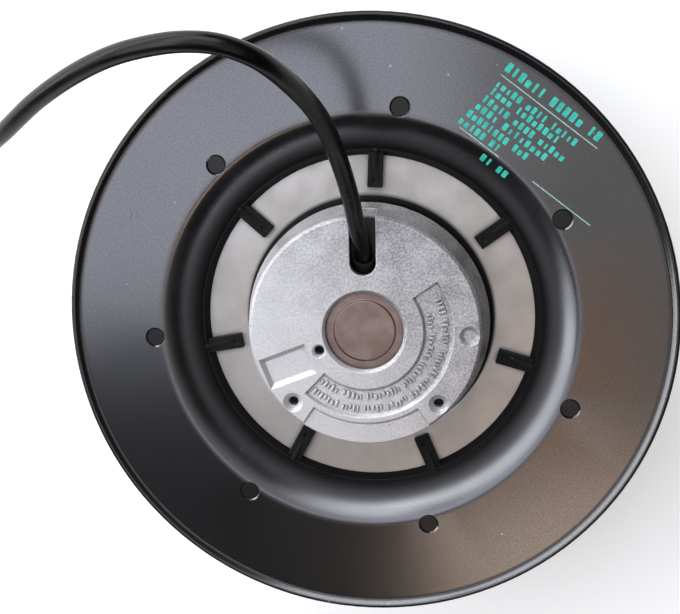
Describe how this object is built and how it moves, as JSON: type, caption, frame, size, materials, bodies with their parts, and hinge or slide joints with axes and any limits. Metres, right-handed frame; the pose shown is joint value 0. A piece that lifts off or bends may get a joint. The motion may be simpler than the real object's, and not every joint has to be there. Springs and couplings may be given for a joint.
{
  "type": "centrifugal fan",
  "caption": "Backward-curved centrifugal fan wheel on an external-rotor motor, with a cast mounting flange, tapped fixing holes and a free supply cable.",
  "frame": {"origin": "on the fan axis, in the plane of the inlet rim that the fan stands on", "axes": "+Z along the fan axis towards the mounting face, +Y along the cable slot of the flange"},
  "size_m": [0.2937, 0.175, 0.1262],
  "materials": {
    "cast_aluminium": "die-cast, fine sand texture",
    "cap_steel": "pressed sheet, satin",
    "electrical_steel": "stacked laminations",
    "bobbin_plastic": "moulded",
    "copper": "enamelled wire",
    "protector_case": "moulded",
    "lead_insulation": "smooth",
    "spring_steel": "blued",
    "bearing_steel": "ground",
    "grommet_rubber": "matt",
    "cable_sheath": "satin",
    "core_insulation": "smooth",
    "ferrule_tin": "tinned",
    "tie_nylon": "satin",
    "impeller_plastic": "moulded, satin, fine grain",
    "zinced_steel": "zinc plated",
    "cage_aluminium": "cast",
    "hub_metal": "turned",
    "shaft_steel": "ground"
  },
  "bodies": {
    "stator": {"stator_flange": "cast_aluminium", "bearing_cap": "cap_steel", "stator_core": "electrical_steel", "coil_bobbins": "bobbin_plastic", "pole_coils": "copper", "shading_rings": "copper", "thermal_protector": "protector_case", "winding_leads": "lead_insulation", "preload_spring": "spring_steel", "upper_outer_race": "bearing_steel", "lower_outer_race": "bearing_steel", "upper_shields": "bearing_steel", "lower_shields": "bearing_steel", "cable_grommet": "grommet_rubber", "supply_cable": "cable_sheath", "cable_coil": "cable_sheath", "cable_tail": "cable_sheath", "core_wires": "core_insulation", "wire_ferrules": "ferrule_tin", "cable_tie": "tie_nylon"},
    "impeller": {"back_plate": "impeller_plastic", "bladed_shroud": "impeller_plastic", "rotor_cup": "zinced_steel", "rotor_core": "electrical_steel", "rotor_cage": "cage_aluminium", "rotor_hub": "hub_metal", "shaft": "shaft_steel", "spacer_washer": "shaft_steel", "shaft_circlip": "spring_steel", "upper_inner_race": "bearing_steel", "lower_inner_race": "bearing_steel"},
    "upper_ball_set": {"upper_balls": "bearing_steel", "upper_ball_cage": "bearing_steel"},
    "lower_ball_set": {"lower_balls": "bearing_steel", "lower_ball_cage": "bearing_steel"}
  },
  "joints": [
    {"name": "impeller_spin", "type": "hinge", "parent": "stator", "child": "impeller", "pos_m": [0, 0, 0.03], "axis": [0, 0, 1], "continuous": true},
    {"name": "upper_balls_roll", "type": "hinge", "parent": "stator", "child": "upper_ball_set", "pos_m": [0, 0, 0.0565], "axis": [0, 0, 1], "continuous": true},
    {"name": "lower_balls_roll", "type": "hinge", "parent": "stator", "child": "lower_ball_set", "pos_m": [0, 0, 0.0185], "axis": [0, 0, 1], "continuous": true}
  ],
  "couplings": [
    {"joint": "upper_balls_roll", "follows": "impeller_spin", "ratio": 0.36},
    {"joint": "lower_balls_roll", "follows": "impeller_spin", "ratio": 0.36}
  ]
}
